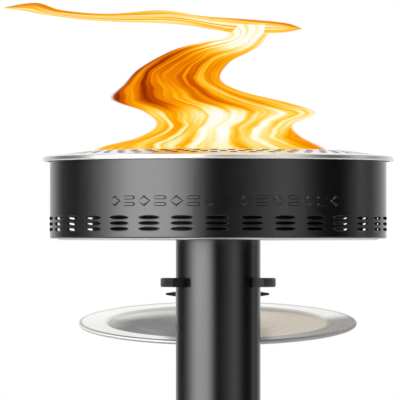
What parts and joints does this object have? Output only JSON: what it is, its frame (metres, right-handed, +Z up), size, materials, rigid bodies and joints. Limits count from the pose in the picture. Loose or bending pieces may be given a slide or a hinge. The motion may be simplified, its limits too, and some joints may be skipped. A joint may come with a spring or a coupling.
{
  "type": "garden torch",
  "caption": "Standing oil torch: a shallow vented drum burner with a perforated flame ring on a sectional pole, a weighted base and a snuffer lid on a clip.",
  "frame": {"origin": "centre of the base, on the ground under the pole's axis", "axes": "+Z up along the pole, -Y towards the open side of the clip (the front), +Y towards the hanging snuffer lid"},
  "size_m": [0.3, 0.3, 1.1757],
  "materials": {
    "black_coat": "satin black powder coat",
    "stainless": "brushed stainless sheet",
    "tinplate": "plain tinplate",
    "zinc": "zinc-plated fasteners",
    "turned_aluminium": "fine turned",
    "brass": "drawn tube, satin",
    "black_plastic": "moulded heat-proof plastic",
    "pad_rubber": "moulded rubber",
    "gasket_rubber": "flat washer",
    "wick_cotton": "woven wick"
  },
  "bodies": {
    "stand": {"base_plate": "black_coat", "base_pads": "pad_rubber", "pad_screws": "zinc", "base_flange": "black_coat", "flange_screws": "zinc", "pole_lock_screws": "zinc", "pole_lower": "black_coat", "lower_coupler": "turned_aluminium", "pole_middle": "black_coat", "upper_coupler": "turned_aluminium", "pole_upper": "black_coat", "pole_top_plug": "turned_aluminium", "base_pan": "stainless", "head_washer": "zinc", "head_bolt": "zinc", "canister_cradle": "black_coat", "cradle_rivets": "zinc", "outer_shell": "black_coat"},
    "flame_guard": {"inner_sleeve": "stainless", "flame_ring": "stainless"},
    "canister": {"fuel_canister": "tinplate", "filler_neck": "tinplate"},
    "cap": {"fuel_cap": "black_plastic", "cap_gasket": "gasket_rubber", "wick_tube": "brass"},
    "wick": {"wick": "wick_cotton"},
    "hanger": {"pole_clip": "black_plastic", "snuffer_bracket": "black_coat", "bracket_screws": "zinc"},
    "snuffer": {"snuffer_lid": "stainless", "snuffer_knob": "black_plastic", "knob_washer": "black_plastic", "knob_screw": "zinc"}
  },
  "joints": [
    {"name": "ring_lift", "type": "slide", "parent": "stand", "child": "flame_guard", "axis": [0, 0, 1], "range_m": [0, 0.045]},
    {"name": "canister_lift", "type": "slide", "parent": "stand", "child": "canister", "axis": [0, 0, 1], "range_m": [0, 0.06]},
    {"name": "cap_lift", "type": "slide", "parent": "canister", "child": "cap", "axis": [0, 0, 1], "range_m": [0, 0.03]},
    {"name": "wick_slide", "type": "slide", "parent": "cap", "child": "wick", "axis": [0, 0, 1], "range_m": [-0.003, 0.008]},
    {"name": "hanger_swivel", "type": "hinge", "parent": "stand", "child": "hanger", "pos_m": [0, 0, 1.1139], "axis": [0, 0, 1], "continuous": true},
    {"name": "snuffer_slide", "type": "slide", "parent": "hanger", "child": "snuffer", "axis": [0, 0.9911, 0.1329], "range_m": [0, 0.07]}
  ]
}
